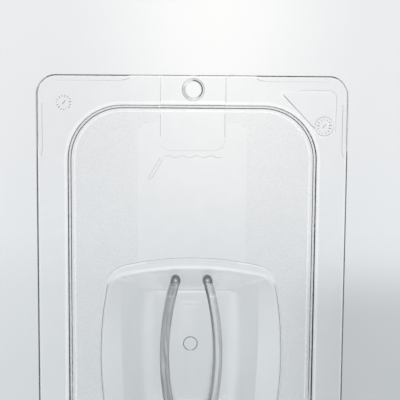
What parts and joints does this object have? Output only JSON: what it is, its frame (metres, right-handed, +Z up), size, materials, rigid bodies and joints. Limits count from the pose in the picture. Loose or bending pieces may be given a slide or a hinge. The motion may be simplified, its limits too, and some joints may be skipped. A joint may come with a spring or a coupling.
{
  "type": "food pan cover",
  "caption": "Long clear plastic cover for a food pan: flat rim, sunken panel, finger bowl with upright grip rails, and a hanging hole at one end.",
  "frame": {"origin": "centre of the cover's footprint, on the plane that the underside of the finger bowl rests on", "axes": "+Y along the cover's length towards the hanging hole, +X across its width, +Z up out of the upper face"},
  "size_m": [0.176, 0.3248, 0.0292],
  "materials": {
    "clear_shell": "clear, with a fine moulded grain on the panel",
    "clear_gloss": "clear and polished"
  },
  "bodies": {
    "root": {"cover_shell": "clear_shell", "finger_bowl": "clear_shell", "grip_rail_left": "clear_gloss", "grip_rail_right": "clear_gloss", "notch_insert": "clear_gloss", "hanging_hole_collar": "clear_gloss"}
  },
  "joints": []
}
